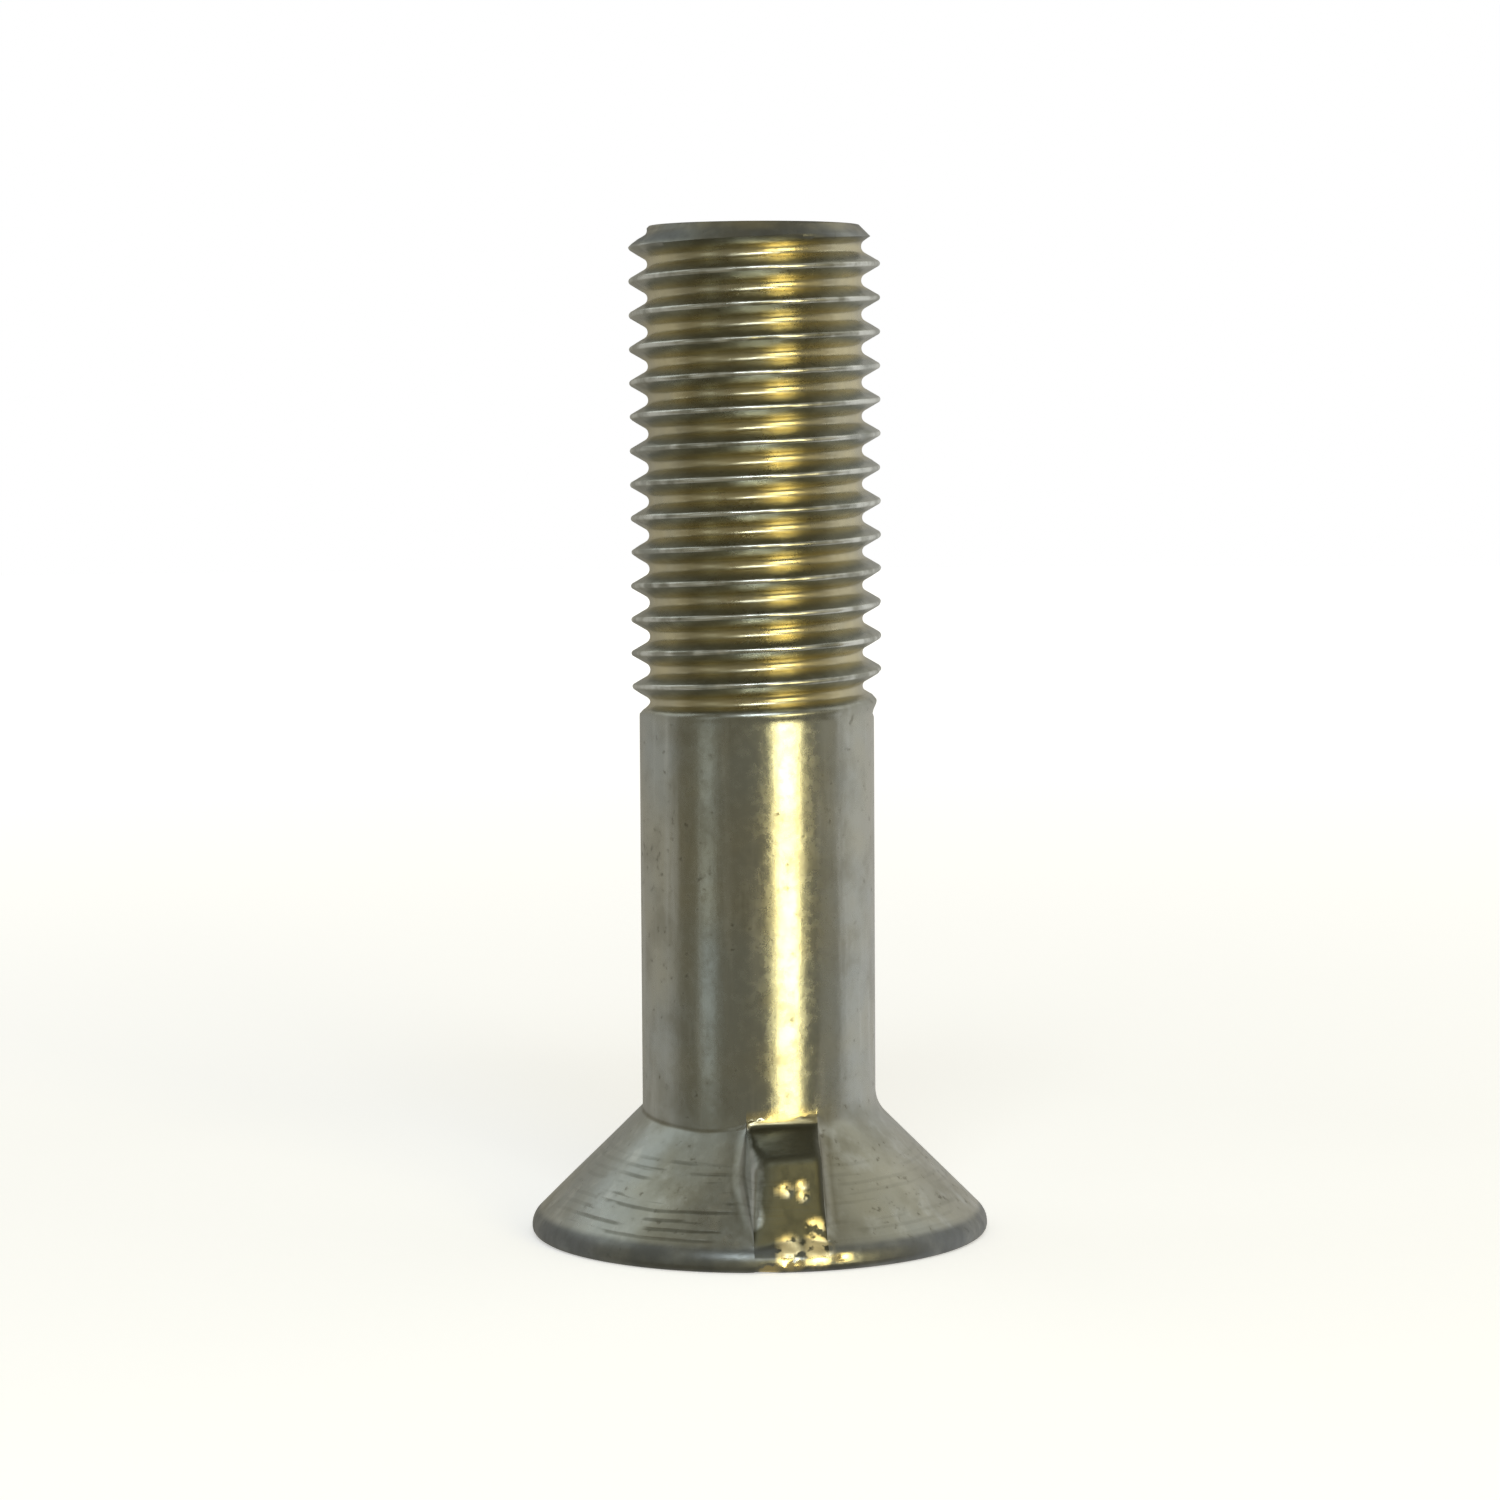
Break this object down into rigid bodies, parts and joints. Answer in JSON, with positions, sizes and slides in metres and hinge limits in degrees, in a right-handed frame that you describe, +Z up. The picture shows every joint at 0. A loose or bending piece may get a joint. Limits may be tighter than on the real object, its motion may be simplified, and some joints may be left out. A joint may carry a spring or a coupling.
{
  "type": "countersunk nib bolt",
  "caption": "Countersunk bolt with a forged nib under its head that stops it turning, a plain shank and a right-hand threaded end.",
  "frame": {"origin": "centre of the head's flat face, the face that the bolt stands on", "axes": "+Z up the shank towards the threaded tip; the nib under the head points along -Y"},
  "size_m": [0.0144, 0.0144, 0.0318],
  "materials": {
    "zinc_plate": "dull olive-grey zinc plate with a faint yellow passivate, mottled and lightly pitted"
  },
  "bodies": {
    "root": {"bolt": "zinc_plate"}
  },
  "joints": []
}
